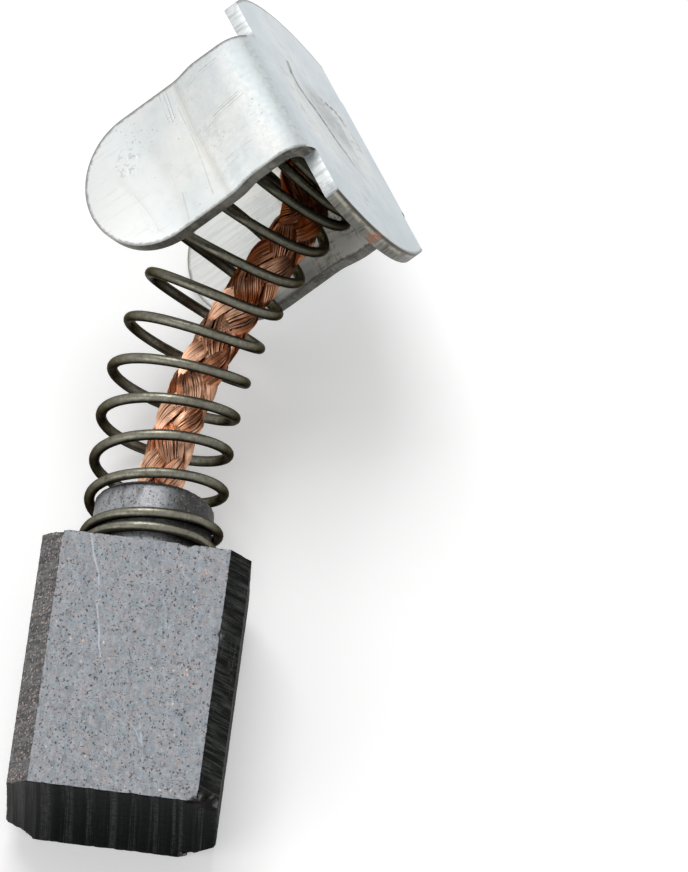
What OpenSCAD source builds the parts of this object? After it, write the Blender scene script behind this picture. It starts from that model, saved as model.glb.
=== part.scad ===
// Carbon brush with a pressure spring, a plaited copper shunt and a folded terminal.
// It lies on the block's back face and on the tip of the terminal's rear ear.
// Millimetres. X runs across the block, Y along it towards the terminal, Z up.
// The origin is the middle of the block's back face.

/* [Carbon block] */
// Width of the block, across its guide faces
block_w = 11; // [9:0.1:14]
// Thickness of the block
block_t = 7.6; // [7.2:0.1:10]
// Length of the block, from its contact edges to the shoulder
block_l = 14.4; // [8:0.1:24]
// Bevel along the two front edges
front_bevel = 1.1; // [0.4:0.1:1.8]
// Bevel along the two back edges
back_bevel = 1.5; // [0.4:0.1:2]
// Diameter of the commutator that hollows the contact face
commutator_d = 40; // [24:1:80]
// Distance between the wear ridges across the contact face
ridge_pitch = 1.15; // [0.9:0.05:2]
// Height of the wear ridges
ridge_h = 0.06; // [0.03:0.01:0.12]

/* [Boss] */
// Play all round between the boss and the coils on it
boss_play = 0.04; // [0.04:0.01:0.3]
// Height of the boss above the shoulder
boss_l = 3.75; // [2:0.05:5]
// Chamfer round the end of the boss
boss_chamfer = 0.25; // [0.1:0.05:0.5]

/* [Spring] */
// How far the coils stay inside the block's front and back faces
spring_inset = 0.02; // [0.02:0.01:0.3]
// Gap that the spring and the shunt leave to the disc
head_gap = 0.04; // [0.03:0.01:0.1]
// Diameter of the spring wire
wire_d = 0.57; // [0.3:0.01:0.7]
// Turns from the shoulder to the disc
turns = 13.6; // [9:0.1:14]
// Gap between the close turns at the two ends
end_gap = 0.17; // [0.05:0.01:0.3]
// Close turns on the shoulder
shoulder_turns = 1.65; // [1:0.05:2]
// Close turns at the disc
disc_turns = 2.2; // [1:0.1:3]
// Angle at which the wire starts on the shoulder
wire_start = 26; // [-30:1:90]

/* [Shunt] */
// Diameter over the plaited bundles
shunt_d = 2.4; // [1.8:0.1:2.6]
// Depth to which the shunt is set into the carbon
shunt_set = 6; // [4:0.5:9]
// Bundles that run each way round the plait
bundles = 4; // [3:1:5]
// Length in which a bundle goes once round the plait
plait_lead = 9.2; // [7:0.1:14]
// How far the bundles stand out of the plait
bundle_relief = 0.34; // [0.2:0.02:0.4]
// Play between the shunt's tail and its hole
shunt_play = 0.03; // [0.01:0.01:0.1]

/* [Terminal] */
// Diameter of the disc
disc_d = 16.4; // [15:0.1:18]
// Width between the two cuts across the disc
disc_cut = 10; // [9:0.1:11]
// Thickness of the sheet
sheet_t = 0.8; // [0.5:0.05:1]
// Width of each ear
ear_w = 7.8; // [6:0.1:9]
// How far both ears sit off the disc's middle, along its cuts
ear_shift = -0.1; // [-0.5:0.05:0.5]
// Length of each ear, down from the disc's outer face
ear_l = 12.1; // [10.5:0.1:15]
// Radius outside the fold of each ear
fold_r = 1.62; // [1.2:0.02:2]
// Distance from the fold down to the ear's set-in
upper_l = 1.5; // [1:0.1:2.5]
// How far the ear is set in below its upper part
ear_set = 0.4; // [0.2:0.05:0.7]
// Length over which the ear is set in
set_l = 1.8; // [1.4:0.1:2.4]
// Diameter of the pressed mark where the shunt is joined
mark_d = 6.6; // [4:0.1:8]
// Depth of the pressed mark
mark_depth = 0.12; // [0.05:0.01:0.2]

/* [How it lies] */
// Distance of the disc's middle to the right of the block's middle
disc_x = 6.6; // [4:0.1:9]
// Distance of the disc's middle beyond the shoulder
disc_reach = 23.4; // [22:0.1:26]
// Turn of the terminal about X, then Y, then Z
disc_turn = [-62, -8, -59];

/* [Hidden] */
$fn = 72;

shoulder_y = block_l / 2;
axis_z = block_t / 2;
commutator_r = commutator_d / 2;
spring_d = block_t - 2 * spring_inset;
coil_r = (spring_d - wire_d) / 2;
boss_d = spring_d - 2 * wire_d - 2 * boss_play;
end_pitch = wire_d + end_gap;
cut_over = 1;                       // how far a cutter runs past what it cuts

// The terminal's own directions: along its cuts, across them, and out of its outer face.
function turned(v, a) =
    let (x = [v.x, v.y * cos(a.x) - v.z * sin(a.x), v.y * sin(a.x) + v.z * cos(a.x)],
         y = [x.x * cos(a.y) + x.z * sin(a.y), x.y, x.z * cos(a.y) - x.x * sin(a.y)])
    [y.x * cos(a.z) - y.y * sin(a.z), y.x * sin(a.z) + y.y * cos(a.z), y.z];
along = turned([1, 0, 0], disc_turn);
across = turned([0, 1, 0], disc_turn);
outward = turned([0, 0, 1], disc_turn);

// The rear ear's rounded end touches the surface that the block lies on.
ear_out = disc_cut / 2 + fold_r - ear_set;
ear_hub = ear_l - ear_w / 2;
disc_z = ear_hub * outward.z - ear_out * across.z + ear_w / 2 * norm([along.z, outward.z])
    - ear_shift * along.z;
disc_middle = [disc_x, shoulder_y + disc_reach, disc_z];

// Vectors and curves
function unit(v) = v / norm(v);
function bezier(p, t) =
    len(p) == 1 ? p[0] : bezier([for (i = [0:len(p) - 2]) p[i] * (1 - t) + p[i + 1] * t], t);
function shares(v, s) = [v.x * s.x, v.y * s.y, v.z * s.z];
function sums(v, i = 0, total = 0) =
    i >= len(v) ? [] : concat([total + v[i]], sums(v, i + 1, total + v[i]));
// Pairs of length along a sampled curve and curve parameter, for lookup().
function length_table(p, n) =
    let (at = [for (i = [0:n]) bezier(p, i / n)],
         run = concat([0], sums([for (i = [1:n]) norm(at[i] - at[i - 1])])))
    [for (i = [0:n]) [run[i], i / n]];
function heading(p, t) = unit(bezier([for (i = [1:len(p) - 1]) p[i] - p[i - 1]], t));
// Two directions square to t, the first of them level.
function side(t) = unit(cross(t, [0, 0, 1]));
function rise(t) = cross(side(t), t);

// The spring's middle line beyond the boss, to the last coil.
spring_foot = [0, shoulder_y + boss_l, axis_z];
coil_shift = [0.76, 0.57];          // middle of the last coil from the disc's middle
foot_share = 0.282;                 // how far the spring leaves the boss straight
belly = [-0.175, 0.62, 0];          // share of the spring's reach at which it bellies out
last_straight = 1;                  // length over which the last coils run straight
spring_head = disc_middle + coil_shift.x * along + coil_shift.y * across
    - (sheet_t + head_gap + wire_d / 2) * outward;
spring_step = spring_head - spring_foot;
spring_line = [spring_foot, spring_foot + [0, foot_share * spring_step.y, 0],
    spring_foot + shares(spring_step, belly), spring_head - last_straight * outward, spring_head];
spring_table = length_table(spring_line, 120);
spring_l = boss_l + spring_table[len(spring_table) - 1][0];
function spring_at(s) = s < boss_l ? spring_foot - [0, boss_l - s, 0]
    : bezier(spring_line, lookup(s - boss_l, spring_table));
function spring_heading(s) = s < boss_l ? [0, 1, 0]
    : heading(spring_line, lookup(s - boss_l, spring_table));

// Turns of open pitch up to turn u, easing in and out over part of a turn.
ease = 0.3;
function eased(x) = x < 0 ? 0 : x > 1 ? x - 0.5 : x * x * x - x * x * x * x / 2;
function open_turns(u) =
    ease * (eased((u - shoulder_turns) / ease) - eased((u - turns + disc_turns + ease) / ease));
open_pitch = (spring_l - wire_d / 2 - end_pitch * (turns - open_turns(turns))) / open_turns(turns);
function wire_run(u) = wire_d / 2 + end_pitch * (u - open_turns(u)) + open_pitch * open_turns(u);
function wire_out(u) = let (d = spring_heading(wire_run(u)), a = wire_start - 360 * u)
    cos(a) * side(d) + sin(a) * rise(d);
coil_lean = 0.235;                  // the coils lean, with their backs towards the disc
function smooth(x) = let (t = min(max(x, 0), 1)) t * t * (3 - 2 * t);
function leaning(u) = smooth((u - shoulder_turns + 0.2) / 0.9)
    * (1 - smooth((u - turns + disc_turns + 1.1) / 1));
function wire_at(u) = spring_at(wire_run(u)) + coil_r * wire_out(u)
    + coil_lean * leaning(u) * (1 - sin(wire_start - 360 * u)) * spring_heading(wire_run(u));
function wire_heading(u) =
    let (d = 0.01) unit(wire_at(min(u + d, turns)) - wire_at(max(u - d, 0)));

// The shunt's middle line, from the end of the boss to the disc's inner face.
shunt_foot = [0, shoulder_y + boss_l, axis_z];
shunt_head = disc_middle - (sheet_t + head_gap) * outward;
shunt_step = shunt_head - shunt_foot;
leave_share = 0.06;                 // how far the shunt leaves the boss straight
low_bend = [0.145, 1.04, 0.22];     // shares of the shunt's reach at which it bends
high_bend = [1.93, 0.7, 0.54];
head_straight = 4;                  // how far it meets the disc straight
shunt_line = [shunt_foot, shunt_foot + [0, leave_share * shunt_step.y, 0],
    shunt_foot + shares(shunt_step, low_bend), shunt_foot + shares(shunt_step, high_bend),
    shunt_head - head_straight * outward, shunt_head];
shunt_table = length_table(shunt_line, 120);
shunt_l = shunt_table[len(shunt_table) - 1][0];
tail_r = shunt_d / 2 - shunt_play;

// Height of the woven surface at angle a round the plait and length s along it.
function wrapped(x) = x - 360 * round(x / 360);
function dome(x) = abs(x) < 1 ? sqrt(1 - x * x) : 0;
bundle_half = 150;                  // half a bundle's width, where 360 is the step to the next one
bundle_lift = 0.45;                 // share of the relief that a bundle rises by to pass over another
function bundle(x, y, over) =
    let (off = wrapped(x), up = (1 + over * cos((x - off + y) / 2)) / 2)
    (1 - bundle_lift + bundle_lift * up) * dome(off / bundle_half);
function woven(a, s) =
    let (lay = 360 * bundles * s / plait_lead, x = bundles * a + lay, y = bundles * a - lay)
    max(bundle(x, y, 1), bundle(y, x, -1));
plait_fade = 0.6;                   // length over which the plait rises at its two ends
function shunt_r(a, s) =
    let (free = min(1, s / plait_fade, (shunt_l - s) / plait_fade))
    tail_r - free * bundle_relief * (1 - woven(a, s)) + free * shunt_play;

// A closed skin over rings that each have the same number of points.
module skin(rings) {
    n = len(rings[0]);
    last = len(rings) - 1;
    points = [for (ring = rings) each ring];
    walls = [for (i = [0:last - 1], j = [0:n - 1])
        let (a = i * n + j, b = i * n + (j + 1) % n)
        each [[a, a + n, b], [b, a + n, b + n]]];
    foot = [for (j = [0:n - 1]) j];
    head = [for (j = [n - 1:-1:0]) last * n + j];
    polyhedron(points, concat(walls, [foot, head]));
}

module block_section() {
    half = block_w / 2;
    polygon([[back_bevel - half, 0], [half - back_bevel, 0], [half, back_bevel],
        [half, block_t - front_bevel], [half - front_bevel, block_t], [front_bevel - half, block_t],
        [-half, block_t - front_bevel], [-half, back_bevel]]);
}

// The running surface that the block has worn down to: a drum with a shallow ridge every pitch.
module worn_drum() {
    count = ceil(block_w / ridge_pitch / 2) + 1;
    swell_r = (ridge_pitch * ridge_pitch / 4 + ridge_h * ridge_h) / 2 / ridge_h;
    rotate([0, 90, 0])
        rotate_extrude($fn = 180)
            intersection() {
                translate([0, -block_w]) square([2 * commutator_r, 2 * block_w]);
                union() {
                    translate([0, -block_w]) square([commutator_r - ridge_h, 2 * block_w]);
                    for (i = [-count:count])
                        translate([commutator_r - swell_r, i * ridge_pitch]) circle(swell_r);
                }
            }
}

module carbon_block() {
    sag = commutator_r - sqrt(commutator_r * commutator_r - block_t * block_t / 4);
    boss_top = shoulder_y + boss_l;
    color("dimgray")
    difference() {
        union() {
            translate([0, shoulder_y, 0]) rotate([90, 0, 0])
                linear_extrude(block_l) block_section();
            translate([0, shoulder_y - cut_over, axis_z]) rotate([-90, 0, 0])
                cylinder(d = boss_d, h = boss_l + cut_over - boss_chamfer);
            translate([0, boss_top - boss_chamfer, axis_z]) rotate([-90, 0, 0])
                cylinder(d1 = boss_d, d2 = boss_d - 2 * boss_chamfer, h = boss_chamfer);
        }
        translate([0, sag - shoulder_y - commutator_r, axis_z]) worn_drum();
        translate([0, boss_top - shunt_set, axis_z]) rotate([-90, 0, 0])
            cylinder(d = shunt_d, h = shunt_set + cut_over);
    }
}

module pressure_spring() {
    steps = 22;                     // rings in one turn
    sides = 8;
    count = ceil(turns * steps);
    color("slategray")
    skin([for (i = [0:count])
        let (u = turns * i / count, out = wire_out(u), over = cross(wire_heading(u), out))
        [for (j = [0:sides - 1])
            wire_at(u) + wire_d / 2 * (cos(360 * j / sides) * out + sin(360 * j / sides) * over)]]);
}

module copper_shunt() {
    sides = 24;
    count = 84;
    foot_y = shoulder_y + boss_l - shunt_set;
    function around(at, d, s, r) = [for (j = [0:sides - 1])
        let (a = 360 * j / sides, reach = r > 0 ? r : shunt_r(a, s))
        at + reach * (cos(a) * side(d) - sin(a) * rise(d))];
    color("peru")
    skin(concat(
        [around([0, foot_y, axis_z], [0, 1, 0], 0, tail_r)],
        [for (i = [0:count])
            let (s = shunt_l * i / count, t = lookup(s, shunt_table))
            around(bezier(shunt_line, t), heading(shunt_line, t), s, 0)]));
}

// Part of a ring of sheet, from angle a to angle b.
module bent(mid_r, a, b) {
    far = 2 * (mid_r + sheet_t);
    intersection() {
        difference() {
            circle(mid_r + sheet_t / 2);
            circle(mid_r - sheet_t / 2);
        }
        polygon([[0, 0], far * [cos(a), sin(a)], far * [cos((a + b) / 2), sin((a + b) / 2)],
            far * [cos(b), sin(b)]]);
    }
}

// The ear seen from its edge: out of the disc, round the fold, down, in and down again.
module ear_profile() {
    set_turn = 2 * atan(ear_set / set_l);
    set_r = set_l / 2 / sin(set_turn);
    fold_mid = fold_r - sheet_t / 2;
    x = disc_cut / 2;
    sheet_x = x + fold_mid;
    set_y = -fold_r - upper_l;
    root = 1;
    translate([x - root, -sheet_t]) square([root, sheet_t]);
    translate([x, -fold_r]) bent(fold_mid, 0, 90);
    translate([sheet_x - sheet_t / 2, set_y]) square([sheet_t, upper_l]);
    translate([sheet_x - set_r, set_y]) bent(set_r, -set_turn, 0);
    translate([sheet_x - ear_set + set_r, set_y - set_l]) bent(set_r, 180 - set_turn, 180);
    translate([sheet_x - ear_set - sheet_t / 2, -ear_l - cut_over])
        square([sheet_t, ear_l + cut_over + set_y - set_l]);
}

module ear() {
    deep = 2 * (disc_cut / 2 + fold_r + cut_over);
    translate([ear_shift, 0, 0])
    intersection() {
        rotate([90, 0, 90]) linear_extrude(ear_w, center = true) ear_profile();
        rotate([90, 0, 0]) linear_extrude(deep, center = true) {
            translate([-ear_w / 2, -ear_hub]) square([ear_w, ear_hub + cut_over]);
            translate([0, -ear_hub]) circle(ear_w / 2);
        }
    }
}

module terminal() {
    color("silver")
    translate(disc_middle) rotate(disc_turn)
    difference() {
        union() {
            intersection() {
                translate([0, 0, -sheet_t]) cylinder(d = disc_d, h = sheet_t);
                cube([disc_d + cut_over, disc_cut, 2 * sheet_t + cut_over], center = true);
            }
            ear();
            mirror([0, 1, 0]) ear();
        }
        translate([0, 0, -mark_depth]) cylinder(d = mark_d, h = mark_depth + cut_over);
    }
}

carbon_block();
pressure_spring();
copper_shunt();
terminal();
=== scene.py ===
import bpy
import math
import random
from mathutils import Matrix, Vector, noise
from mathutils.kdtree import KDTree


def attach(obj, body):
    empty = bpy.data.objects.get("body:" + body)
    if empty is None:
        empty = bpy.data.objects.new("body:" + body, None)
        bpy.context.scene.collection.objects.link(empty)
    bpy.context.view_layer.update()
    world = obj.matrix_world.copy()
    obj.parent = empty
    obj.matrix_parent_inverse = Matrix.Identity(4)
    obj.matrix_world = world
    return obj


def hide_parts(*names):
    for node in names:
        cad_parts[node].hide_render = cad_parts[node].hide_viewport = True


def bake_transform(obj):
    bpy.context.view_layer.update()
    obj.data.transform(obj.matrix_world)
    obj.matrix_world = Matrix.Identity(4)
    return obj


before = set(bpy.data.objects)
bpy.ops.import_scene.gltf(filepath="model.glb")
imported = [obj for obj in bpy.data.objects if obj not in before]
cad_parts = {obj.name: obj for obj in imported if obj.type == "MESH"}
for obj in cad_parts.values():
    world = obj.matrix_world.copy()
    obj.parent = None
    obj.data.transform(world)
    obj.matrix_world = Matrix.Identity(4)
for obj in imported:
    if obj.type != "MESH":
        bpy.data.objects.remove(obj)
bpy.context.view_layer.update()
print("frame loaded")

# Everything is modelled in millimetres and shrunk to metres when it is put in its place.
mm = 0.001


def clearSelection():
    if bpy.context.object and bpy.context.object.mode != "OBJECT":
        bpy.ops.object.mode_set(mode="OBJECT")
    bpy.ops.object.select_all(action="DESELECT")


def takeUp(thing):
    clearSelection()
    thing.select_set(True)
    bpy.context.view_layer.objects.active = thing


def applyModifier(thing, kind, **settings):
    takeUp(thing)
    modifier = thing.modifiers.new(kind.title(), kind)
    for key, value in settings.items():
        setattr(modifier, key, value)
    bpy.ops.object.modifier_apply(modifier=modifier.name)


def applyPlace(thing):
    takeUp(thing)
    bpy.ops.object.transform_apply(location=True, rotation=True, scale=True)


def toMetres(thing):
    thing.scale = (mm, mm, mm)
    applyPlace(thing)


def mergeCorners(thing, near, dropFlat=True):
    # joins the corners that lie on one spot, and drops the flat faces that this leaves
    takeUp(thing)
    bpy.ops.object.mode_set(mode="EDIT")
    bpy.ops.mesh.select_all(action="SELECT")
    bpy.ops.mesh.remove_doubles(threshold=near)
    if dropFlat:
        bpy.ops.mesh.dissolve_degenerate(threshold=near)
    bpy.ops.object.mode_set(mode="OBJECT")


def pickVertices(thing, wanted):
    # selects, in edit mode, the vertices that the test accepts, and the edges between them
    bpy.ops.object.mode_set(mode="OBJECT")
    for vertex in thing.data.vertices:
        vertex.select = wanted(vertex.co)
    for edge in thing.data.edges:
        edge.select = all(thing.data.vertices[i].select for i in edge.vertices)
    for face in thing.data.polygons:
        face.select = False
    bpy.ops.object.mode_set(mode="EDIT")


def smoothShade(thing, angle):
    takeUp(thing)
    bpy.ops.object.shade_smooth_by_angle(angle=math.radians(angle))


class Strand:
    # one socket's value: sums and products of it add Math nodes
    def __init__(self, paint, socket):
        self.paint = paint
        self.socket = socket

    def math(self, operation, *others):
        return self.paint.node("ShaderNodeMath", {"operation": operation}, dict(enumerate((self, *others))))

    def __add__(self, other):
        return self.math("ADD", other)

    def __radd__(self, other):
        return self.math("ADD", other)

    def __sub__(self, other):
        return self.math("SUBTRACT", other)

    def __rsub__(self, other):
        return self * -1 + other

    def __mul__(self, other):
        return self.math("MULTIPLY", other)

    def __rmul__(self, other):
        return self.math("MULTIPLY", other)

    def __truediv__(self, other):
        return self.math("DIVIDE", other)

    def __rtruediv__(self, other):
        return self ** -1 * other

    def __pow__(self, other):
        return self.math("POWER", other)

    def ramp(self, low, high, smooth=True):
        # 0 up to low, 1 from high on
        return self.paint.node("ShaderNodeMapRange",
                               {"interpolation_type": "SMOOTHSTEP" if smooth else "LINEAR", "clamp": True},
                               {"Value": self, "From Min": low, "From Max": high})


class Paint:
    # one material, with its nodes made by short calls
    def __init__(self, name):
        self.material = bpy.data.materials.new(name)
        self.material.use_nodes = True
        self.tree = self.material.node_tree
        self.shader = self.tree.nodes["Principled BSDF"]
        self.output = self.tree.nodes["Material Output"]
        self.coords = self.node("ShaderNodeTexCoord", out="Object")

    def node(self, kind, settings=None, inputs=None, out=0):
        made = self.tree.nodes.new(kind)
        for key, value in (settings or {}).items():
            setattr(made, key, value)
        for key, value in (inputs or {}).items():
            self.feed(made.inputs[key], value)
        return Strand(self, made.outputs[out])

    def feed(self, socket, value):
        if isinstance(value, Strand):
            self.tree.links.new(value.socket, socket)
        elif isinstance(value, (tuple, list)) and len(value) == 3 and socket.type == "RGBA":
            socket.default_value = (*value, 1)
        else:
            socket.default_value = value

    def finish(self, inputs):
        for name, value in inputs.items():
            self.feed(self.shader.inputs[name], value)
        return self.material

    def noise(self, scale, detail=3.0, rough=0.55, vector=None, out="Fac"):
        return self.node("ShaderNodeTexNoise", None,
                         {"Vector": vector or self.coords, "Scale": scale, "Detail": detail,
                          "Roughness": rough}, out)

    def cells(self, scale, vector, out="Distance"):
        return self.node("ShaderNodeTexVoronoi", None, {"Vector": vector, "Scale": scale}, out)

    def mix(self, factor, a, b):
        return self.node("ShaderNodeMix", {"data_type": "RGBA"}, {0: factor, 6: a, 7: b}, 2)

    def stretched(self, scale, vector=None):
        return self.node("ShaderNodeMapping", None, {"Vector": vector or self.coords, "Scale": scale})

    def bump(self, height, distance, strength):
        return self.node("ShaderNodeBump", None,
                         {"Height": height, "Distance": distance, "Strength": strength})

    def axis(self, name, vector=None):
        return self.node("ShaderNodeSeparateXYZ", None, {"Vector": vector or self.coords}, name)

    def inMillimetres(self, name, vector=None):
        return self.axis(name, vector) * 1000

    def towards(self, normal, direction):
        # 1 where a face looks in the direction, -1 where it looks the other way
        return self.node("ShaderNodeVectorMath", {"operation": "DOT_PRODUCT"},
                         {0: normal, 1: tuple(direction)}, "Value")

    def spot(self, place, radius, edge):
        # 1 inside a ball round a place in millimetres, fading out from its edge to its radius
        away = self.node("ShaderNodeVectorMath", {"operation": "DISTANCE"},
                         {0: self.coords, 1: tuple(Vector(place) * mm)}, "Value")
        return 1 - away.ramp(radius * edge * mm, radius * mm)

    def line(self, u, v, points, width, soft=0.8):
        # 1 on a line through points on the plane of u and v, fading out at width from it
        nearest = None
        for (startU, startV), (endU, endV) in zip(points, points[1:]):
            stepU, stepV = endU - startU, endV - startV
            long = stepU ** 2 + stepV ** 2
            part = (u - startU) * (stepU / long) + (v - startV) * (stepV / long)
            part = part.ramp(0, 1, smooth=False)
            awayU, awayV = u - startU - part * stepU, v - startV - part * stepV
            away = (awayU * awayU + awayV * awayV) ** 0.5
            nearest = nearest.math("MINIMUM", away) if nearest else away
        return 1 - nearest.ramp(width * (1 - soft), width)

    def lines(self, u, v, drawn, soft=0.8):
        # the strongest of several lines, each given as its points, width and strength
        strongest = None
        for points, width, strength in drawn:
            one = self.line(u, v, points, width, soft) * strength
            strongest = strongest.math("MAXIMUM", one) if strongest else one
        return strongest

    def warped(self, amount, scale):
        # coordinates pushed about, so that cells come out ragged
        push = self.noise(scale, 2.0, 0.5, None, "Color")
        return self.node("ShaderNodeVectorMath", {"operation": "MULTIPLY_ADD"},
                         {0: push, 1: (amount, amount, amount), 2: self.coords})


view = {
    # the camera's own directions before it is aimed, and the point that it stands away from
    "right": (0.9917, 0.1274, 0.0162),
    "up": (-0.1226, 0.9025, 0.4128),
    "toward": (0.0380, -0.4114, 0.9107),
    "standsFrom": (0, 7.2, 0),
    "distance": 543.75,
    "lens": 425.8,
    "aim": (0.019286, 0.015854),      # how far the camera turns to the right and up, as slopes
    "sensor": 36,
}


def makeCamera():
    right, up, toward = (Vector(view[k]) for k in ("right", "up", "toward"))
    stand = Vector(view["standsFrom"]) + view["distance"] * toward
    rightward, upward = view["aim"]
    look = (rightward * right + upward * up - toward).normalized()
    level = (up - up.dot(look) * look).normalized()
    side = look.cross(level)
    data = bpy.data.cameras.new("camera")
    data.sensor_fit = "VERTICAL"
    data.sensor_height = view["sensor"]
    data.lens = view["lens"]
    data.clip_start = 0.01
    data.clip_end = 20
    camera = bpy.data.objects.new("camera", data)
    bpy.context.scene.collection.objects.link(camera)
    turned = Matrix((side, level, -look)).transposed().to_4x4()
    camera.matrix_world = Matrix.Translation(stand * mm) @ turned
    bpy.context.scene.camera = camera
    bpy.context.scene.view_settings.view_transform = "Standard"


light = {
    "floorSize": 3,
    "floor": 0.82,
    "floorGlow": 0.32,
    "roomFill": 0.45,
    "lamps": [     # name, place, width and height in metres, power
        ("overhead", (-0.10, 0.34, 0.46), 0.34, 0.26, 1.75),
        ("left", (-0.40, -0.26, 0.30), 0.40, 0.30, 0.6),
    ],
    "aim": (0.003, 0.012, 0.004),
}


def makeFloor():
    clearSelection()
    bpy.ops.mesh.primitive_plane_add(size=light["floorSize"], location=(0, 0, 0))
    floor = bpy.context.object
    floor.name = "floor"
    paint = Paint("floorPaper")
    tone = light["floor"]
    paint.finish({"Base Color": (tone, tone, tone), "Roughness": 0.9, "Specular IOR Level": 0.1})
    seen = paint.node("ShaderNodeLightPath", out="Is Camera Ray")
    mirrored = paint.node("ShaderNodeLightPath", out="Is Glossy Ray")
    glow = seen.math("MAXIMUM", mirrored) * light["floorGlow"]
    emit = paint.node("ShaderNodeEmission", None, {"Color": (1, 1, 1), "Strength": glow})
    both = paint.node("ShaderNodeAddShader", None,
                      {0: Strand(paint, paint.shader.outputs[0]), 1: emit})
    paint.feed(paint.output.inputs["Surface"], both)
    floor.data.materials.append(paint.material)


def makeLight():
    world = bpy.context.scene.world or bpy.data.worlds.new("room")
    bpy.context.scene.world = world
    world.use_nodes = True
    tree = world.node_tree
    tree.nodes.clear()
    path = tree.nodes.new("ShaderNodeLightPath")
    seen = tree.nodes.new("ShaderNodeMath")
    seen.operation = "MAXIMUM"
    tree.links.new(path.outputs["Is Camera Ray"], seen.inputs[0])
    tree.links.new(path.outputs["Is Glossy Ray"], seen.inputs[1])
    level = tree.nodes.new("ShaderNodeMapRange")
    level.inputs["To Min"].default_value = light["roomFill"]
    level.inputs["To Max"].default_value = 1
    tree.links.new(seen.outputs[0], level.inputs["Value"])
    room = tree.nodes.new("ShaderNodeBackground")
    room.inputs["Color"].default_value = (1, 1, 1, 1)
    tree.links.new(level.outputs[0], room.inputs["Strength"])
    out = tree.nodes.new("ShaderNodeOutputWorld")
    tree.links.new(room.outputs[0], out.inputs["Surface"])
    for name, place, width, height, power in light["lamps"]:
        data = bpy.data.lights.new(name, "AREA")
        data.shape = "RECTANGLE"
        data.size, data.size_y, data.energy = width, height, power
        lamp = bpy.data.objects.new(name, data)
        bpy.context.scene.collection.objects.link(lamp)
        lamp.location = place
        lamp.rotation_euler = (Vector(place) - Vector(light["aim"])).to_track_quat("Z", "Y").to_euler()


makeCamera()
makeFloor()
makeLight()
print("camera, floor and light set")


def bezierPoint(points, t):
    points = [Vector(p) for p in points]
    while len(points) > 1:
        points = [a.lerp(b, t) for a, b in zip(points, points[1:])]
    return points[0]


def sampleLine(points, count):
    # places and directions at even lengths along a Bezier line, and its length
    parts = 400
    fine = [bezierPoint(points, i / parts) for i in range(parts + 1)]
    run = [0.0]
    for a, b in zip(fine, fine[1:]):
        run.append(run[-1] + (b - a).length)
    places = []
    at = 0
    for i in range(count + 1):
        goal = run[-1] * i / count
        while at < parts - 1 and run[at + 1] < goal:
            at += 1
        part = (goal - run[at]) / (run[at + 1] - run[at])
        places.append(fine[at].lerp(fine[at + 1], min(part, 1)))
    heads = []
    for i in range(count + 1):
        a, b = places[max(i - 1, 0)], places[min(i + 1, count)]
        heads.append((b - a).normalized())
    return places, heads, run[-1]


def shares(step, share):
    return Vector(s * k for s, k in zip(step, share))


def sideAndRise(head):
    side = head.cross(Vector((0, 0, 1))).normalized()
    return side, side.cross(head)


block = {"length": 14.4, "thick": 7.6, "boss": 3.75}
shoulder = block["length"] / 2
axisHeight = block["thick"] / 2

cap = {
    "middle": Vector((6.6, 30.6, 11.1572)),
    "turn": (-62, -8, -59),
    "disc": 16.4, "cut": 10, "sheet": 0.8,
    "earWide": 7.8, "earShift": -0.1, "earLong": 12.1, "earTip": 0.12,
    "fold": 1.62, "upper": 1.5, "setIn": 0.4, "setLong": 1.8, "foldSteps": 12, "tipSteps": 20,
    "mark": 6.6, "markDeep": 0.07, "markSlope": 0.7, "edgeRound": 0.09,
}
turnX, turnY, turnZ = (Matrix.Rotation(math.radians(a), 3, n) for a, n in zip(cap["turn"], "XYZ"))
capTurn = turnZ @ turnY @ turnX
# the terminal's own directions: along the disc's cuts, across them, and out of its outer face
along, across, outward = (capTurn @ Vector(v) for v in ((1, 0, 0), (0, 1, 0), (0, 0, 1)))


def tubes(name, paths, radius, sides):
    # wires along lists of points, all in one mesh
    data = bpy.data.curves.new(name, "CURVE")
    data.dimensions = "3D"
    data.bevel_depth = radius
    data.bevel_resolution = max(0, (sides - 4) // 2)
    data.use_fill_caps = True
    for path in paths:
        spline = data.splines.new("POLY")
        spline.points.add(len(path) - 1)
        for point, place in zip(spline.points, path):
            point.co = (*place, 1)
    thing = bpy.data.objects.new(name, data)
    bpy.context.scene.collection.objects.link(thing)
    takeUp(thing)
    bpy.ops.object.convert(target="MESH")
    return bpy.context.object


spring = {
    "wire": 0.57, "inset": 0.02, "gap": 0.04, "turns": 13.6, "endGap": 0.17, "shoulderTurns": 1.65,
    "discTurns": 2.2, "start": 26, "shift": (0.76, 0.57), "footShare": 0.282,
    "belly": (-0.175, 0.62, 0), "lastStraight": 1, "ease": 0.3, "samples": 600, "steps": 54, "sides": 14,
    "lean": 0.235, "leanEarly": 0.2, "leanOver": 0.9, "leanLate": 1.1,      # in turns, but for lean itself
}


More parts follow.
